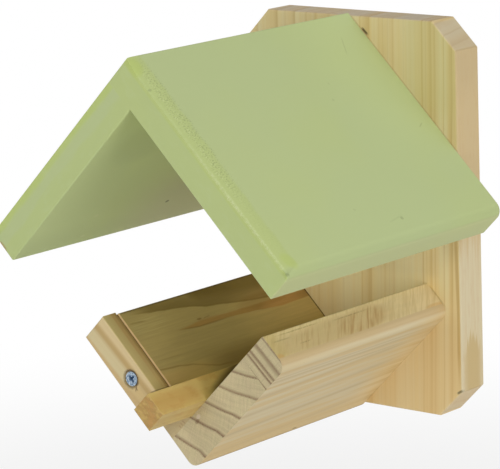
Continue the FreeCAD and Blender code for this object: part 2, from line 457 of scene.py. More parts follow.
back_marks = [
    (-57, 0.35, 2, 0.4), (-45.1, 0.55, 2.5, 0.5), (-40, 0.2, 1.5, 0.5), (-34.4, 0.6, 2.5, 0.5),
    (-27, 0.3, 1.2, 0.4), (-21, 0.35, 2.5, 0.4), (-13, 0.3, 2, 0.4), (-6, 0.2, 1.5, 0.4),
    (5.2, 0.5, 0.4, 0.4), (10.6, 0.55, 4, 0.5), (16.4, 0.22, 0.5, 0.3), (18.8, 0.25, 0.6, 0.3),
    (21.4, 0.22, 0.5, 0.3), (24.4, 0.28, 0.9, 0.3), (30.5, 0.15, 0.8, 0.4), (34.5, 0.12, 0.6, 0.4),
    (41.6, 0.6, 0.7, 0.5), (43.6, 0.3, 0.5, 0.3), (46.5, 0.6, 1.8, 0.6), (48.8, 0.5, 1.2, 0.5),
    (53.8, 0.6, 0.5, 0.4), (58.4, 0.65, 1.8, 0.5), (61.9, 0.15, 1.4, 0.4)]
back_gold = [
    (-64, 0.3), (-60, 0.6), (-56, 0.2), (-48, 0.7), (-44, 0.2), (-37, 0.8), (-33, 0.1), (-28, 0.6),
    (-11, 0.7), (-8, 0.2), (4, 0.2), (7, 0.9), (10.5, 0.9), (12, 0.3), (16, 0.5), (24, 0.6),
    (27, 0), (38, 0.1), (41, 0.6), (44, 0.7), (47, 1), (50, 0.7), (52, 0.1), (55, 0.1), (57, 0.9),
    (60, 0.8), (61, 0.3), (64, 0.4)]
print("back board:", len(back_marks), "ring lines,", len(back_gold), "levels of gold")


# %% [markdown]
# The board is warmer towards its lower end. Its right edge shows the flat side of the rings: tan
# above, paler below, with one darker flame. Where the roof and the cradle meet the board there is a
# thin dark line, the shadow in a joint that is never quite closed.

# %% Back board, its right edge and the joints on its face
def back_edge(finish, along, across, through, drift):
    """The colour of the edge that faces right."""
    streak = finish.noise((along * 0.012, 0, through * 0.55), 2, 0.6)
    upper = (along + (drift + streak) * 30).smooth(-4, 14)
    wood = finish.mix(upper, (214, 200, 166), (204, 181, 138))
    wood = wood.mix(streak.smooth(0.45, 0.62) * 0.3, (204, 178, 130))
    fleck = finish.noise((along * 0.12, across, through * 0.7), 2, 0.7)
    wood = wood.mix(fleck.smooth(0.52, 0.68) * 0.18, (198, 162, 116))
    flame_top = (along + streak * 26 + abs(through - 9) * 1.2).smooth(-38, -44)
    wood = wood.mix(flame_top * through.near(9, 9) * 0.9, (195, 169, 116))
    return wood.shade(1 - 0.07 * along.smooth(50, 74))


def back_joints(finish, across):
    """Thin lines where the roof's two slopes and the right leg's top edge meet it."""
    slope_up = right_slope.place(finish)[2]
    slope_left = left_slope.place(finish)[2]
    leg = right_leg.place(finish)
    joint = slope_up.near(0, 0.8) * across.smooth(0, 1)
    joint = joint.most(slope_left.near(0, 0.8) * across.smooth(0, -1))
    top = leg[1].near(60.8, 0.9) * leg[2].near(-8, 8)
    return (joint * 0.7).most(top * 0.8)


print("edge and joints of the back board ready")


# %% Back board details
def back_touches(finish, along, across, through, tone, height):
    front = back.faces(finish, -DEPTH)
    side = across.smooth(61.6, 62.1)
    drift = finish.noise((along * 0.02, across * 0.2, through * 0.2), 1) - 0.5
    gold = (across - along * 0.02 + through * 0.10 + drift * 3).levels(back_gold)
    tone = tone.mix(gold * 0.45, (217, 182, 114))
    warm = along.smooth(-25, -70) * (1 - side)
    tone = tone.mix(warm * 0.45, (232, 197, 138))
    # Painted light in the gap between roof and cradle.
    painted_gap_light = along.near(-20, 34) * across.smooth(56, 46) * front
    top_right = along.smooth(10, 50) * across.smooth(0, 30)
    # Painted shade just under the eave, and painted light along the right edge in the gap.
    painted_eave_shade = along.near(-21, 9) * across.smooth(54, 44) * front
    by_edge = along.near(-32, 22) * across.smooth(50, 56) * front
    tone = tone.shade(1 + 0.17 * painted_gap_light - 0.05 * top_right - 0.09 * painted_eave_shade + 0.08 * by_edge)
    upper_gold = along.smooth(35, 62) * across.smooth(26, 40) * front
    tone = tone.mix(upper_gold * 0.32, (190, 183, 110))
    golden_edge = (across + drift * 2 + along * 0.02).near(60.2, 1.5) * front
    golden_edge = golden_edge * along.smooth(0, -12) * along.smooth(-86, -60)
    tone = tone.mix(golden_edge * 0.6, (196, 158, 88))
    edge_wood = back_edge(finish, along, across, through, drift)
    tone = tone.mix(side * 0.9, edge_wood)

    chamfer = (1 - side) * (1 - front) * across.smooth(49.5, 50.5)
    tone = tone.mix(chamfer * 0.5, (206, 190, 162))
    tone = tone.shade(1 - 0.07 * chamfer * along.smooth(0, 20))
    joints = back_joints(finish, across) * front
    tone = tone.mix(joints * 0.4, (150, 116, 66))
    knock = scratch(across, along, (59.8, -82.6), (62.2, -81), 0.8) * through.smooth(2.5, 1)
    tone = tone.mix(knock * 0.8, (96, 92, 62))
    gap = scratch(across, along, (8.2, 89.2), (11.4, 86.4), 0.9) * front
    tone = tone.mix(gap * 0.85, (66, 54, 30))
    return tone, height - gap


back_pine = pine(
    "pine_back", back, upright_rings, back_marks,
    {"pale": (232, 218, 173), "deep": (230, 210, 156), "line": (190, 155, 91),
     "end": (212, 198, 172), "stain": (206, 188, 156), "end_line": (184, 158, 120)},
    wander=0.35, touches=back_touches)
print("back board:", len(back_pine.node_tree.nodes), "nodes")


# %% [markdown]
# ## The right cradle board
#
# It is glued up from two strips. Above the glue line the rings stand square to the face. Below it
# they are arcs about a heart that lies outside the board, up and to the right, and drift a little
# along it. The top edge is straight from the saw: slanting marks of the teeth, rubbed brown in
# places, and a few scratches.

# %% Right board rings
glue_line = 44
heart_across, heart_through = 110, 53
ring_drift = 0.056
ring_at_face, usual_ring = 90, 110
bark_bend = 0.03


def two_strips(finish, along, across, through):
    """Straight rings above the glue line, arcs below it, drifting along the board."""
    upper = across + through * 0.05
    aside = across - heart_across - along * ring_drift
    deep = through - heart_through
    lower = (aside * aside + deep * deep).root()
    lower = lower - (lower - ring_at_face) * through.smooth(-13, -18) * bark_bend
    above = across.smooth(glue_line - 0.1, glue_line + 0.1)
    bend = aside.turn(deep) * usual_ring
    return lower + (upper - lower) * above, bend + (through - bend) * above


right_marks = [
    (43.4, 0.9, 0.9, 0.5), (47.8, 0.85, 0.7, 0.5), (50.2, 0.8, 1.2, 0.6), (54.8, 0.7, 1.9, 0.8),
    (60, 0.7, 0.4, 0.4), (92.1, 0.75, 0.9, 0.4), (101.5, 0.75, 1, 0.4), (112, 0.8, 1.1, 0.4),
    (123.2, 0.85, 1.1, 0.4), (136.1, 0.8, 1.1, 0.4), (147.5, 0.6, 1, 0.4)]
print("right cradle board:", len(right_marks), "ring lines")


# %% Right board, the sawn top edge
saw_slant = 0.95
saw_scratches = [((4, -1.5), (42, -1.6)), ((2, -4), (17, -4.2)), ((45, -3), (77, -2.8)),
                 ((18, -8.6), (27, -8.4))]


def sawn_edge(finish, along, through, edge):
    """The top edge's colour, the marks of the teeth in two sizes, and the scratches."""
    slant = along - through * saw_slant
    tooth = finish.noise((slant * 0.5, through * 0.06, 5), 3, 0.6)
    close = finish.noise((slant * 2.2, through * 0.2, 9), 1)
    sawn = finish.mix(edge.smooth(-0.1, 0.2), (219, 198, 148), (225, 203, 152))
    sawn = sawn.mix(along.smooth(92, 118) * 0.5, (226, 205, 162))
    sawn = sawn.mix(tooth.smooth(0.58, 0.40) * 0.4, (196, 168, 112))
    by_edge = through.smooth(-4.5, -1)
    sawn = sawn.shade(0.88 + 0.18 * close + 0.08 * along.smooth(60, 120) + 0.09 * by_edge)
    rubbed = tooth.smooth(0.38, 0.62) * spot((slant - 73, 18), (through + 8, 6.5))
    faint_rub = tooth.smooth(0.42, 0.62) * spot((slant - 46, 32), (through + 8, 6))
    sawn = sawn.mix(rubbed.most(faint_rub * 0.6) * 0.8, (178, 137, 80))
    green = (along + close * 6).smooth(16, 6)
    sawn = sawn.mix(green * 0.4, (196, 172, 104))
    orange = spot((along - 2, 2.2), (through + 12, 1.6))
    orange = orange.most(spot((along - 118, 7), (through + 12.4, 1.5)) * 0.8)
    sawn = sawn.mix(orange * 0.6, (210, 166, 100))
    marks = strongest(scratch(along, through + close * 0.5, start, end, 0.5)
                      for start, end in saw_scratches)
    sawn = sawn.mix(marks * 0.4 * close.smooth(0.38, 0.5), (140, 118, 68))
    return sawn, tooth, close, marks


print("saw marks slant by", round(math.degrees(math.atan(saw_slant))), "degrees")


# %% Right board, small marks
def right_small(finish, along, across, through, outer, tone):
    """A pin's spot, a chip and a bruise on the sawn end, and painted shade where faces look down.
    """
    pin_mark = spot((along - 68.5, 1.6), (across + 11.8, 0.45)) * outer
    tone = tone.mix(pin_mark * 0.75, (84, 62, 36))
    chip = spot((along, 1.5), (across - 2.8, 1.4), (through + 2.2, 1))
    tone = tone.mix(chip * 0.7, (222, 206, 186))
    bruise = spot((along, 1.5), (across - 0.6, 1.6), (through + 3.4, 0.9))
    tone = tone.mix(bruise * 0.5, (120, 92, 66))
    # Painted shade: the faces that look down are darkened and browned.
    down = finish.normal().reach(-UP)
    tone = tone.shade(1 - 0.14 * down.smooth(0.71, 0.9))
    tone = tone.mix(down.smooth(0.73, 0.86) * 0.6, (120, 98, 66))
    end = along.smooth(0.5, 0.1)
    pale_end = across.near(-14, 8).most(across.near(26, 10)) * end
    return tone.shade(1 + 0.08 * pale_end)


print("small marks of the right cradle board ready")


# %% Right board details
def right_touches(finish, along, across, through, tone, height):
    top = right_leg.faces(finish, RIGHT_UP) * through.smooth(-13, -12.2)
    outer = right_leg.faces(finish, -LEFT_UP)
    edge = finish.noise((along * 0.05, across * 0.3, through * 0.3), 2) - 0.5
    # Painted highlight: a lighter band where the outer face rounds over at the top.
    shoulder_highlight = (across + edge * 2).smooth(57.5, 59.5) * outer
    tone = tone.mix(shoulder_highlight * 0.45, (216, 203, 170))
    by_wall = along.smooth(92, 122) * outer
    tone = tone.mix(by_wall * 0.6, (230, 202, 148))
    half_way = 0.06 * across.smooth(36, 22) - 0.05 * across.smooth(42, 52)
    tone = tone.shade(1 + by_wall * half_way)
    low = (across + edge * 8).smooth(12, -12) * outer
    tone = tone.mix(low * 0.6, (216, 184, 122))
    golden = finish.noise((along * 0.01, across * 0.22, 12), 2, 0.6)
    tone = tone.mix(golden.smooth(0.46, 0.64) * 0.55 * outer, (210, 180, 122))

    sawn, tooth, close, marks = sawn_edge(finish, along, through, edge)
    rolled = right_leg.faces(finish, RIGHT_UP) * (1 - top)
    tone = tone.mix(rolled * 0.35, (216, 181, 130))
    seams = through.near(-12.4, 0.5).most(through.near(-15.7, 0.6))
    tone = tone.mix(rolled * seams * 0.35, (190, 158, 108))
    tone = right_small(finish, along, across, through, outer, tone.mix(top, sawn))
    return tone, height + top * (tooth * 2 + close * 1.2) - marks * top


right_pine = pine(
    "pine_cradle_right", right_leg, two_strips, right_marks,
    {"pale": (213, 199, 163), "deep": (211, 191, 147), "line": (176, 147, 98),
     "end": (200, 186, 146), "stain": (196, 178, 143), "end_line": (124, 95, 70)},
    wander=0.22, ends=0.5, faint=0.55, softer=1.4, touches=right_touches)
print("right cradle board:", len(right_pine.node_tree.nodes), "nodes")


# %% [markdown]
# ## The left cradle board
#
# This one was cut flat, along the rings, so its inner face shows long slow lines and one reddish
# flame that starts as a point and widens towards the wall. A noise can't be told where to put such
# a feature, so each line follows a few points measured along the board. The face is olive near the
# front, golden near the wall.

# %% Left board rings
def flat_rings(finish, along, across, through):
    """Rings nearly parallel to the face, rising and falling along the board."""
    sway = finish.noise((along * 0.011, across * 0.03, 2), 1) - 0.5
    return across + sway * 30 + along * 0.02, through


left_marks = [
    (4, 0.35, 4, 0.6), (12, 0.5, 4, 0.6), (19, 0.4, 3, 0.6), (27, 0.55, 5, 0.6),
    (36, 0.4, 4, 0.6), (42, 0.6, 4, 0.6), (47, 0.35, 3, 0.6), (53, 0.5, 3, 0.6),
    (58, 0.35, 3, 0.6)]
print("left cradle board:", len(left_marks), "ring lines")


# %% Left board, above the upper long line
upper_line = [(0, 58), (15, 57), (32, 55), (44, 53.5), (54, 51), (64, 50), (77, 48), (92, 46.5),
              (102, 45.8), (124, 45)]


def left_upper(finish, along, across, fray, golden, wood):
    """Dark wood above the line, a band in front, the whole strip further back with painted shade.
    """
    above = across + fray * 1.2 - along.course(upper_line)
    dark_top = above.smooth(-0.6, 0.5) * above.smooth(13, 1).most(along.smooth(34, 54))
    dark_top = dark_top * along.smooth(2, 22)
    # Painted shade: further back and higher up, the strip is darker and browner.
    far_shade = along.smooth(28, 52) * above.smooth(3, 9)
    far_shade_tone = finish.mix(far_shade, (142, 109, 56), (120, 98, 40))
    dark_top = dark_top * (0.75 - 0.2 * along.smooth(60, 90) + 0.24 * far_shade)
    wood = wood.mix(dark_top, finish.mix(golden, (124, 102, 50), far_shade_tone))
    thin_line = above.near(0.2, 0.7) * along.smooth(5, 20)
    return wood.mix(thin_line * 0.4, (128, 104, 52))


print("upper line falls", upper_line[0][1] - upper_line[-1][1], "mm on its way to the wall")


# %% Left board, the flame
flame_low = [(20, 43.5), (32, 42.8), (42, 41.9), (62, 42), (82, 41), (102, 39.3), (124, 40)]
flame_high = [(20, 43), (32, 43.8), (39, 44.6), (45, 45.4), (57, 45), (82, 44.6), (124, 44.8)]


def left_flame(finish, along, across, fray, hair, wood):
    """The reddish flame with its dark lower lip, and a small knot beside it."""
    over_low = across + fray * 0.5 - along.course(flame_low)
    under_high = along.course(flame_high) - across - fray * 1.5
    flame = over_low.smooth(-0.2, 0.5) * under_high.smooth(-0.4, 1.2)
    red = finish.mix(along.near(104, 20), (170, 130, 72), (196, 146, 86))
    red = red.shade(0.85 + 0.3 * hair)
    wood = wood.mix(flame * 0.8 * along.smooth(19, 30), red)
    lip = over_low.near(0.1, 0.6) * along.smooth(26, 36)
    wood = wood.mix(lip * along.smooth(72, 50) * 0.5, (128, 96, 48))
    knot = spot((along - 45 + fray * 2, 1.8), (across - 45.7 - fray, 0.5))
    knot = knot.most(scratch(along, across + fray * 2, (47.5, 45.4), (52.5, 46), 0.6) * 0.7)
    return wood.mix(knot * 0.6, (118, 86, 42))


print("flame:", round(flame_high[-1][1] - flame_low[-1][1], 1), "mm wide at the wall")


# %% Left board, below the flame and along its rims
lower_line = [(0, 26.9), (12, 26), (22, 24.5), (30, 22), (37, 20), (44, 19.5), (80, 16), (124, 12)]
leg_length = round((cradle_high.y - cradle_low.y) / MILLIMETRE)


def left_lower(along, across, fray, wood):
    """The lower long line, painted light in front, deeper gold and painted shadow behind, dark
    rims.
    """
    below = along.course(lower_line) - across - fray * 0.8
    thin_line = below.near(0, 0.7) * along.smooth(52, 40)
    wood = wood.mix(thin_line * 0.5, (130, 104, 52))
    # Painted light: the lower front of the face is lighter and warmer.
    painted_front_light = along.smooth(48, 24) * across.smooth(28, 22)
    wood = wood.shade(1 + 0.2 * painted_front_light)
    wood = wood.mix(painted_front_light * 0.3, (214, 170, 106))
    deep_gold = spot((along - 92, 18), (across - 46, 4))
    wood = wood.mix(deep_gold * 0.3, (142, 106, 48))
    shadow = across.smooth(32, 20) * along.smooth(26, 50)
    wood = wood.mix(shadow * 0.6, (138, 106, 50))
    wedge = scratch(along, across + fray * 0.8, (0.5, 53.6), (13, 53), 0.7)
    wedge = wedge.most(scratch(along, across + fray * 0.8, (0.5, 31.6), (22, 31), 0.6) * 0.4)
    wood = wood.mix(wedge * 0.45, (132, 108, 56))
    wood = wood.mix(along.smooth(leg_length - 1.1, leg_length - 0.5) * 0.8, (90, 64, 34))
    return wood.mix(across.smooth(59.4, 60.2) * 0.6, (96, 80, 46))


print("lower line falls from", lower_line[0][1], "to", lower_line[-1][1], "mm in", leg_length, "mm")


# %% Left board details
along_light = [(0, 0.87), (16, 0.96), (36, 0.87), (50, 0.87), (85, 0.91), (124, 1.06)]
end_dashes = [((0.3, -6), (2.6, -6.6)), ((0.4, -7.8), (2.4, -8.2)), ((0.6, -9.6), (2, -9.8))]


def left_touches(finish, along, across, through, tone, height):
    inner = left_leg.faces(finish, RIGHT_UP)
    fray = finish.noise((along * 0.10, across * 0.9, 4), 2, 0.6) - 0.5
    streak = finish.noise((along * 0.02, across * 0.7, 8), 2, 0.6)
    blotch = finish.noise((along * 0.03, across * 0.09, 6), 2)
    golden = (along + blotch * 40 - across * 0.3).smooth(60, 110)
    wood = finish.mix(golden, (190, 167, 108), (206, 178, 116))
    pale_patch = spot((along - 12, 12), (across - 50, 5)) * streak.smooth(0.4, 0.6)
    wood = wood.mix(pale_patch * 0.5, (206, 190, 130))
    hair = finish.noise((along * 0.12, across * 2.2, 5), 2, 0.7)
    grain_light = 0.76 + 0.28 * streak + 0.16 * hair + 0.2 * (blotch - 0.5)
    wood = wood.shade(grain_light * along.levels(along_light))
    wood = left_upper(finish, along, across, fray, golden, wood)
    wood = left_flame(finish, along, across, fray, hair, wood)
    wood = left_lower(along, across, fray, wood)
    tone = tone.mix(inner * along.smooth(0.1, 0.3), wood)
    dashes = strongest(scratch(across, through, start, end, 0.35) for start, end in end_dashes)
    sawn = along.smooth(0.6, 0.2)
    tone = tone.mix(dashes * 0.5 * sawn, (150, 112, 84))
    # Painted shadow of the latch on the sawn end, and a painted highlight on its edge by the inner
    # face.
    tone = tone.mix(through.smooth(-2.2, -1.4) * sawn * 0.85, (140, 112, 62))
    tone = tone.mix(through.smooth(-0.8, -0.4) * sawn * 0.85, (240, 208, 154))
    return tone, height


left_pine = pine(
    "pine_cradle_left", left_leg, flat_rings, left_marks,
    {"pale": (206, 190, 142), "deep": (204, 176, 118), "line": (166, 130, 74),
     "end": (198, 180, 136), "stain": (190, 168, 122), "end_line": (140, 112, 76)},
    wander=0.8, touches=left_touches)
print("left cradle board:", len(left_pine.node_tree.nodes), "nodes")


# %% [markdown]
# ## The perch and the latch
#
# Both are small offcuts. The perch is a warmer, more golden stick with a mottled face. The latch is
# pale, with soft stripes of cream and tan down its front and a thin split below its screw. Round
# the screw the wood is crushed and dark, where the cone of the head was driven in, with a painted
# shadow of the head laid over it. Shade on the perch and on the latch's upper side is painted too.

# %% Perch
def stick_rings(finish, along, across, through):
    return across * 0.8 + through * 0.6 + along * 0.03, across


stick_marks = [(-3, 0.35, 2, 0.7), (2.5, 0.3, 1.5, 0.6), (7, 0.4, 2, 0.7), (11, 0.3, 2, 0.6),
               (15, 0.35, 2, 0.6)]


def stick_touches(finish, along, across, through, tone, height):
    mottle = finish.noise((along * 0.14, across * 0.22, through * 0.22), 2, 0.6)
    tone = tone.mix(mottle.smooth(0.50, 0.64) * 0.35, (204, 156, 86))
    tone = tone.mix(mottle.smooth(0.48, 0.36) * 0.5, (214, 186, 112))
    pink = finish.noise((along * 0.5, across * 1.6, through * 1.6), 2, 0.7)
    end = stick.faces(finish, -DEPTH)
    tone = tone.mix(pink.smooth(0.52, 0.66) * 0.35 * end, (206, 158, 122))
    upper = stick.faces(finish, RIGHT_UP)
    orange = through.near(6, 6) * along.smooth(34, 24) * upper
    tone = tone.mix(orange * 0.4, (197, 145, 75))
    lower = stick.faces(finish, -LEFT_UP) * (1 - 0.5 * along.smooth(6, 24))
    tone = tone.mix(lower * 0.3, (158, 145, 110))
    # Painted shade, deeper towards the back of the perch.
    dark = along.smooth(18, 60) * through.smooth(5, 12) * 0.2
    tone = tone.mix(dark, (132, 98, 46))
    # Painted light on the upper face, a little way back from the front.
    tone = tone.shade(1 + 0.2 * along.near(38, 12) * upper)
    # Painted shade on the eased edges, which dims their highlight.
    normal = finish.normal()
    flat = strongest(abs(normal.reach(axis)).smooth(0.7, 0.98)
                     for axis in (DEPTH, RIGHT_UP, LEFT_UP))
    tone = tone.shade(0.82 + 0.18 * flat)
    # Painted shade deep in the corner of the V, beside the right board.
    corner = (through - (along - 30) * 0.39).smooth(4, -0.5) * along.smooth(30, 44)
    return tone.mix(corner * 0.9, (88, 68, 32)), height


stick_pine = pine(
    "pine_perch", stick, stick_rings, stick_marks,
    {"pale": (219, 192, 124), "deep": (213, 178, 107), "line": (192, 150, 80),
     "end": (188, 155, 91), "stain": (186, 144, 94), "end_line": (168, 130, 74)},
    wander=0.8, touches=stick_touches)
print("perch:", len(stick_marks), "ring lines,", len(stick_pine.node_tree.nodes), "nodes")


# %% Latch rings and its screw
screw_low, screw_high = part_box("latch_screw")
screw_middle = (screw_low + screw_high) / (2 * MILLIMETRE) - Vector((0, 0, cradle_corner))
screw_along, screw_across = screw_middle.dot(LEFT_UP), screw_middle.dot(RIGHT_UP)
screw_reach = (screw_high.x - screw_low.x) / (2 * MILLIMETRE)
screw_front = screw_low.y / MILLIMETRE
latch_slope = 0.06
latch_marks = [(-11.6, 0.15, 1.5, 0.5), (-6.1, 0.35, 0.8, 3.5), (1, 0.25, 1.5, 1)]


def latch_rings(finish, along, across, through):
    return across + along * latch_slope + through * 0.30, through


print("latch: screw", round(screw_along, 1), "mm along,", round(screw_across, 1), "mm across")


# %% Latch details
def latch_touches(finish, along, across, through, tone, height):
    front = turning.faces(finish, -DEPTH)
    upper = turning.faces(finish, RIGHT_UP)
    step = across + along * latch_slope
    cream = step.near(-8.8, 4.4) * front
    low_end = along.smooth(36, 24)
    tone = tone.mix(cream * 0.6, finish.mix(low_end, (220, 208, 164), (218, 190, 132)))
    tan = step.near(-3.2, 2.6) * front
    tone = tone.mix(tan * 0.55, (184, 150, 88))
    tone = tone.mix(step.near(-13.5, 3.2) * 0.3 * front, (206, 168, 108))
    warm = step.near(0.6, 4) * front
    tone = tone.mix(warm * 0.7, (226, 203, 155))
    # Painted shade on the upper side: a duller tone, darkest at the back by the cradle boards.
    olive = finish.mix(through.smooth(1, 6), (198, 178, 122), (192, 168, 112))
    streak = through.near(6.6, 1.8) * (0.85 - 0.45 * along.smooth(42, 26))
    olive = olive.mix(streak, (178, 142, 86))
    olive = olive.mix(through.smooth(6.8, 8.4), (146, 116, 62))
    # The painted shade on the upper side is lifted towards the latch's lower end.
    tone = tone.mix(upper * 0.85, olive.shade(1 + 0.2 * along.smooth(30, 22)))
    away = finish.point(along - screw_along, across - screw_across, 0).length()
    fuzz = finish.noise((along * 0.8, across * 0.8, through), 2) - 0.5
    # The dark ring round the head is crushed wood and a painted shadow of the head, heavier up to
    # the right.
    shadow_side = (across - screw_across).smooth(-3.5, 2.5)
    crushed = (away + fuzz * 1.1).smooth(screw_reach + 1.8, screw_reach + 0.4) * front
    tone = tone.mix(crushed * (0.6 + 0.4 * shadow_side), (74, 56, 34))
    split = scratch(along, across, (25.4, -11), (26.8, -8.4), 0.4) * front
    split = split.most(scratch(along, across, (25, -9.6), (26.2, -9.4), 0.35) * front * 0.8)
    # Painted shadow on the latch just above the perch.
    perch_shadow = scratch(along, across, (19.4, -4), (17.6, 0), 0.7)
    tone = tone.mix(split.most(perch_shadow * 0.8) * 0.8, (96, 70, 42))
    return tone, height - split - crushed


latch_pine = pine(
    "pine_latch", turning, latch_rings, latch_marks,
    {"pale": (212, 190, 143), "deep": (210, 184, 134), "line": (178, 148, 94),
     "end": (204, 182, 140), "stain": (198, 172, 126), "end_line": (176, 146, 102)},
    wander=0.2, touches=latch_touches)
print("latch:", len(latch_marks), "ring lines,", len(latch_pine.node_tree.nodes), "nodes")


# %% [markdown]
# ## Green paint
#
# The roof has a matt coat of sage green, nearly even. The right board's upper front edge was sanded
# over before painting: across the grain, so it took the paint badly. That band is a little
# yellower, with small grey pits along its inner boundary, and on its sharp lower line the coat is
# thin and broken, with a painted highlight along it.

# %% Colours and measures of the paint
coat = (190, 203, 145)
coat_warm = (193, 205, 134)
coat_edge = (185, 198, 130)
coat_border = (190, 206, 112)
# Thin coat, also the colour of painted highlights on the roof's edges.
thin_coat_and_highlight = (218, 224, 176)
coat_pit = (136, 148, 100)
coat_rim = (187, 184, 139)
coat_grey = (187, 199, 154)
bare_wood = (176, 150, 100)
paint_depth = 0.12 * MILLIMETRE
roof_length = round((roof_high.y - roof_low.y) / MILLIMETRE)
roof_width = 124
sanded_run = 8
sanded_drop = [(0, 0.9), (12, 2.5), (30, 2.3), (118, 1.6)]
print("painted boards:", roof_length, "by", roof_width, "mm, sanded band", sanded_run, "mm wide")


# %% Roof paint
def paint(name, board, touches):
    """A brushed matt coat over planed wood, with painted light and shade; touches adds one board's
    own.
    """
    material, finish, shader = new_finish(name)
    along, across, through = board.place(finish)
    cloud = finish.noise((along * 0.013, across * 0.013, through * 0.03), 2)
    brush = finish.noise((along * 0.03, across * 0.9, through * 0.9), 2)
    rough = finish.noise((along * 1.3, across * 1.3, through * 1.3), 2, 0.7)
    front = board.faces(finish, -DEPTH)
    colour = finish.mix(cloud.smooth(0.40, 0.64) * 0.3, coat, coat_warm)
    colour = colour.mix(front * 0.6, coat_edge)
    mottle = finish.noise((along, across * 0.12, through * 0.25), 2, 0.6)
    border = through.near(-1.5, 3) * front
    colour = colour.mix(border * 0.5, coat_border)
    colour = colour.mix(mottle.smooth(0.5, 0.7) * 0.35 * front, coat)
    far_rim = along.smooth(roof_length - 0.8, roof_length - 0.1)
    far_rim = far_rim.most(across.smooth(roof_width - 0.8, roof_width - 0.1))
    colour = colour.mix(far_rim * 0.45, coat_rim)
    # Painted shade on the rounded eave, which tones down its highlight.
    rolled = through.near(-1.8, 2.4) * across.smooth(118.5, 121)
    pit = rough.smooth(0.80, 0.84)
    colour = colour.mix(pit * 0.4, coat_pit)
    # Painted light near the wall, turning to a touch of painted shade towards the eave.
    by_wall = along.smooth(90, roof_length) * through.smooth(-3, -1)
    # Painted light on the inside faces of the roof, taken back at the apex and near the eave.
    inside = board.faces(finish, -board.through)
    inner = along.levels([(8, 0.11), (40, 0.18), (80, 0.17), (115, 0.10)])
    apex_shade = spot((along - 34, 20), (across - 45, 16))
    inner = inner - 0.08 * apex_shade - 0.09 * across.smooth(102, 118)
    by_wall = by_wall * (0.09 - 0.10 * across.smooth(55, 105))
    # The coat's cloud and brush marks, with the painted light and shade set above.
    light = 0.985 + 0.02 * cloud + 0.012 * brush + by_wall + inner * inside - 0.12 * rolled
    colour = colour.shade(light)
    height = brush * 0.25 - pit + rough * 0.1
    colour, height = touches(finish, along, across, through, colour, height, rough)
    feed(finish, shader, Base_Color=colour, Normal=height.relief(paint_depth, 0.4),
         Roughness=0.62 + 0.1 * cloud, Specular_IOR_Level=matt_gloss)
    return material


print("paint: brush marks stand", round(paint_depth / MILLIMETRE, 2), "mm high")


# %% Right roof board, its dents
round_dents = [(90.2, 112.5, 0.9, 0.4), (65.3, 102, 0.7, 0.15), (1, 18, 0.7, 0.4),
               (104, 45, 0.8, 0.15), (109, 36, 0.7, 0.12)]
long_dents = [((141, 12), (135, 24), 0.5, 0.2), ((150, 68), (146, 70), 0.5, 0.25),
              ((80, 113), (92, 111), 0.6, 0.12)]


def roof_dents(along, across, through, shake):
    """The knock at the front corner, small round dents and longer ones, each with its strength."""
    dents = spot((along - 0.6, 1), (across - 122.3 + shake * 3, 1), (through + 1.6, 0.8)) * 0.6
    for down_run, down_slope, size, strength in round_dents:
        dent = spot((along - down_run + shake * 2, size), (across - down_slope, size)) * strength
        dents = dents.most(dent * through.smooth(-3.5, -2.5))
    for start, end, half, strength in long_dents:
        dent = scratch(along, across, start, end, half) * strength
        dents = dents.most(dent * through.smooth(-1, -0.2))
    return dents


print("right roof board:", 1 + len(round_dents) + len(long_dents), "dents")


# %% Right roof board
def right_roof(finish, along, across, through, colour, height, rough):
    shift = finish.noise((along * 0.1, across * 0.14, 2), 2) - 0.5
    outside = through.smooth(-4.5, -3)
    turn_in = across.smooth(121, 118)
    band = (along + shift * 3).smooth(sanded_run + 0.8, sanded_run - 1.6) * outside * turn_in
    colour = colour.mix(band * 0.7, (187, 200, 127))
    grit = finish.noise((along * 1.1, across * 1.5, 7), 1, 0.6)
    grit_strip = (along + shift * 3).near(sanded_run - 2.4, 4.6) * outside * turn_in
    grit_strip = grit_strip * across.levels([(2, 0.2), (12, 0.9), (64, 1), (84, 0.3), (118, 0.1)])
    pits = grit.smooth(0.56, 0.64) * grit_strip
    colour = colour.mix(pits * 0.5, coat_pit)
    dust = grit.smooth(0.44, 0.34) * grit_strip * along.smooth(sanded_run, 2)
    colour = colour.mix(dust * 0.5, thin_coat_and_highlight)
    shake = finish.noise((along, across * 0.8, 5), 2, 0.7) - 0.5
    # The sharp lower line: a worn thin coat and a painted highlight, broken up by the wear.
    arris_wear_and_highlight = (through + across.course(sanded_drop) + shake * 2.8).near(0.1, 1.3)
    arris_wear_and_highlight = arris_wear_and_highlight * along.smooth(1.6, 0.5) * turn_in * across.smooth(1, 4)
    worn = (rough * 0.6 + finish.noise((across * 0.35, 3, 1), 2, 0.7) * 0.4).smooth(0.44, 0.56)
    low_down = across.levels([(2, 0.15), (40, 0.25), (64, 0.7), (80, 1), (118, 0.8)])
    colour = colour.mix(arris_wear_and_highlight * low_down * (0.08 + 0.42 * worn), thin_coat_and_highlight)
    # Painted highlight along the inner front edge.
    inner_edge_highlight = along.smooth(1.2, 0.3) * through.smooth(-15.5, -16.3)
    inner_edge_highlight = inner_edge_highlight * across.smooth(17, 19)
    colour = colour.mix(inner_edge_highlight * 0.15, thin_coat_and_highlight)
    crown = spot((along - 1, 4), (across - 5, 5)) * through.smooth(-5, -2)
    hook = spot((along - 5.5, 3.2), (across - 114 - along * 0.5, 4)) * outside
    colour = colour.mix(crown.most(hook * 0.8) * 0.5, (184, 200, 104))
    dents = roof_dents(along, across, through, shake)
    colour = colour.mix(dents, coat_pit)
    return colour, height + band * (rough - 0.5) * 1.6 - pits * 1.5 - dents * 2


right_paint = paint("paint_right", right_slope, right_roof)
print("right roof board:", len(right_paint.node_tree.nodes), "nodes")


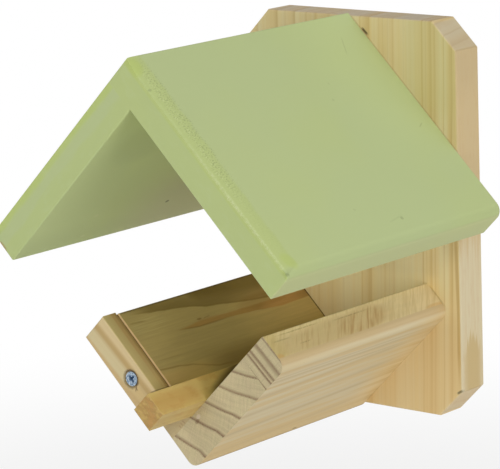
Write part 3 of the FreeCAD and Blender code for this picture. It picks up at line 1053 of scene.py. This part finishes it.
# %% Left roof board
def left_roof(finish, along, across, through, colour, height, rough):
    sway = finish.noise((across * 0.05, through * 0.2, 6), 2) - 0.5
    grey = (through + sway * 7).near(-6, 4.6) * along.smooth(0.6, 0.2)
    colour = colour.mix(grey * 0.4, coat_grey)
    inside = through.smooth(-16, -16.5)
    # Painted reflection of the pine back board: the underside is paler and warmer towards the wall.
    painted_wall_bounce = inside * along.smooth(50, 100) * across.smooth(60, 100)
    colour = colour.mix(painted_wall_bounce * 0.45, (203, 197, 172))
    dot = spot((along - 94.5, 1.3), (across - 106, 0.9)) * inside
    colour = colour.mix(dot * 0.7, (92, 100, 70))
    bumps = spot((along - 41.4, 1.6), (across - 102.1, 1.2)) * inside
    bumps = bumps.most(spot((along - 43.1, 1.4), (across - 117.9, 1.2)) * inside)
    colour = colour.mix(bumps * 0.3, thin_coat_and_highlight)
    chip = spot((along, 1.2), (across - 123.8, 1.4), (through + 8.3 + (rough - 0.5) * 4, 3))
    colour = colour.mix(chip.smooth(0.3, 0.5) * 0.7, bare_wood)
    return colour, height + bumps * 1.5 - chip - dot


left_paint = paint("paint_left", left_slope, left_roof)
print("left roof board:", len(left_paint.node_tree.nodes), "nodes")


# %% [markdown]
# ## Zinc and steel
#
# The screws have a bright zinc plating with a cool cast that clouds. Their recess is dull and dark,
# because little light finds its way down and the driver has rubbed it. The headless pins are bare
# steel.

# %% Metal
def metal(name, bright, dull, roughness, recess=None):
    """Plated or bare metal. recess is where a head's front lies along the depth, in millimetres."""
    material, finish, shader = new_finish(name)
    close = finish.position().shade(1 / MILLIMETRE)
    cloud = finish.noise(close, 2, 0.6)
    colour = finish.mix(cloud.smooth(0.38, 0.62), bright, dull)
    rough = roughness + 0.25 * cloud
    if recess is not None:
        sunk = close.reach(DEPTH).smooth(recess + 0.15, recess + 0.7)
        colour = colour.mix(sunk * 0.8, (104, 138, 172))
        rough = rough + sunk * 0.35
    feed(finish, shader, Base_Color=colour, Metallic=1, Roughness=rough)
    return material


latch_zinc = metal("zinc_latch_screw", (186, 200, 212), (112, 134, 156), 0.28, screw_front)
zinc = metal("zinc_plate", (206, 220, 232), (160, 178, 194), 0.2)
steel = metal("pin_steel", (150, 146, 138), (118, 112, 104), 0.35)
print("metals ready, latch screw's front at", round(screw_front, 1), "mm")


# %% [markdown]
# ## Dressing the shapes
#
# Each loaded piece keeps its shape and gets its finish in its own material slots.

# %% Give every node its finish
finishes = {
    "back_board": back_pine,
    "roof_board_right": right_paint,
    "roof_board_left": left_paint,
    "cradle_board_right": right_pine,
    "cradle_board_left": left_pine,
    "perch": stick_pine,
    "latch": latch_pine,
    "latch_screw": latch_zinc,
    "roof_screws": zinc,
    "cradle_screws": zinc,
    "ridge_pins": steel,
    "cradle_pins": steel,
    "perch_pins": steel,
}
for node_name, material in finishes.items():
    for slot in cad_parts[node_name].material_slots:
        slot.material = material
print("dressed", len(finishes), "nodes")


# %% [markdown]
# ## Floor, light and background
#
# The light is a plain soft studio: a bright room all round, a large soft box low at the front,
# which reaches in under the roof, one at the right and a weak one behind. The holder hangs on a
# wall in use, so the pale floor lies a hand's breadth below it. Seen by the camera the floor and
# the room are close to white, but the floor keeps the object's soft shadow.

# %% World
def seen_directly(finish):
    """1 for what the camera, a mirror or a glass sees, 0 for light on its way to a matt surface."""
    return strongest([finish.node("ShaderNodeLightPath", output=name)
                      for name in ("Is Camera Ray", "Is Glossy Ray", "Is Transmission Ray")])


room_light = 0.52
world = bpy.data.worlds.new("room")
world.use_nodes = True
bpy.context.scene.world = world
sky = Finish(world.node_tree)
background = world.node_tree.nodes["Background"]
background.inputs["Color"].default_value = (1, 1, 1, 1)
strength = room_light + seen_directly(sky) * (1 - room_light)
world.node_tree.links.new(strength.socket, background.inputs["Strength"])
bpy.context.scene.view_settings.view_transform = "Standard"
print("room light", room_light)


# %% Floor
floor_drop = 0.08
floor_half = 3
middle = (0, -0.09, 0)
paper_white = (0.92, 0.92, 0.92, 1)
shadow_near, shadow_far, shadow_share = 0.12, 0.55, 0.3
floor_mesh = bpy.data.meshes.new("floor")
shape = bmesh.new()
bmesh.ops.create_grid(shape, x_segments=8, y_segments=8, size=floor_half)
shape.to_mesh(floor_mesh)
shape.free()
floor = bpy.data.objects.new("floor", floor_mesh)
floor.location = (middle[0], middle[1], solid_box[0].z - floor_drop)
bpy.context.scene.collection.objects.link(floor)

floor_material, finish, shader = new_finish("floor_paper")
feed(finish, shader, Base_Color=paper_white, Roughness=0.8, Specular_IOR_Level=0.1)
glow = finish.node("ShaderNodeEmission", None, {"Color": (1, 1, 1, 1), "Strength": 1}, "Emission")
far = finish.position().length().smooth(shadow_near, shadow_far)
share = seen_directly(finish) * (1 - shadow_share + shadow_share * far)
paper = finish.node("ShaderNodeMixShader", None,
                    {0: share, 1: Value(finish, shader.outputs[0]), 2: glow})
out = next(node for node in floor_material.node_tree.nodes if node.type == "OUTPUT_MATERIAL")
floor_material.node_tree.links.new(paper.socket, out.inputs["Surface"])
floor.data.materials.append(floor_material)
print("floor at", round(floor.location.z, 4))


# %% Lamps
box_size = 1


def lamp(name, place, watts):
    """A large square soft box at a place, turned to look at the object's middle."""
    data = bpy.data.lights.new(name, "AREA")
    data.size = box_size
    data.energy = watts
    soft_box = bpy.data.objects.new(name, data)
    soft_box.location = place
    soft_box.rotation_euler = (Vector(middle) - Vector(place)).to_track_quat("-Z", "Y").to_euler()
    bpy.context.scene.collection.objects.link(soft_box)


lamp("front", (0.1, -1.7, -0.05), 9.5)
lamp("right", (1.7, -0.3, 0.2), 10.2)
lamp("behind", (1.5, 0.6, 0.5), 1)
print("three lamps")


# %% [markdown]
# ## Camera
#
# The photograph was taken from the front right, a little above the object, with a long lens. The
# camera's place, its slight tilt and its lens were worked out from the object's own corners.

# %% Camera
# The view, solved for: angles in degrees, aim and distance in millimetres, lens in millimetres
azimuth = math.radians(39.636)
elevation = math.radians(11.797)
tilt = math.radians(-1.969)
aim = Vector((-5.62, -89.7, 0.84)) * MILLIMETRE
distance = 1380.97 * MILLIMETRE
lens = 213.9
sensor = 36
nearest = 0.05

forward = Vector((-math.sin(azimuth) * math.cos(elevation),
                  math.cos(azimuth) * math.cos(elevation),
                  -math.sin(elevation)))
level = Vector((math.cos(azimuth), math.sin(azimuth), 0))
upright = level.cross(forward)
right = level * math.cos(tilt) + upright * math.sin(tilt)
up = upright * math.cos(tilt) - level * math.sin(tilt)
camera = bpy.data.objects.new("camera", bpy.data.cameras.new("camera"))
camera.data.lens = lens
camera.data.sensor_width = sensor
camera.data.clip_start = nearest
turn = Matrix((right, up, -forward)).transposed().to_4x4()
camera.matrix_world = Matrix.Translation(aim - forward * distance) @ turn
bpy.context.scene.collection.objects.link(camera)
bpy.context.scene.camera = camera
print("camera", [round(value, 4) for value in camera.matrix_world.translation])


# %% [markdown]
# ## The end
#
# The dressed object may not outgrow the solids.
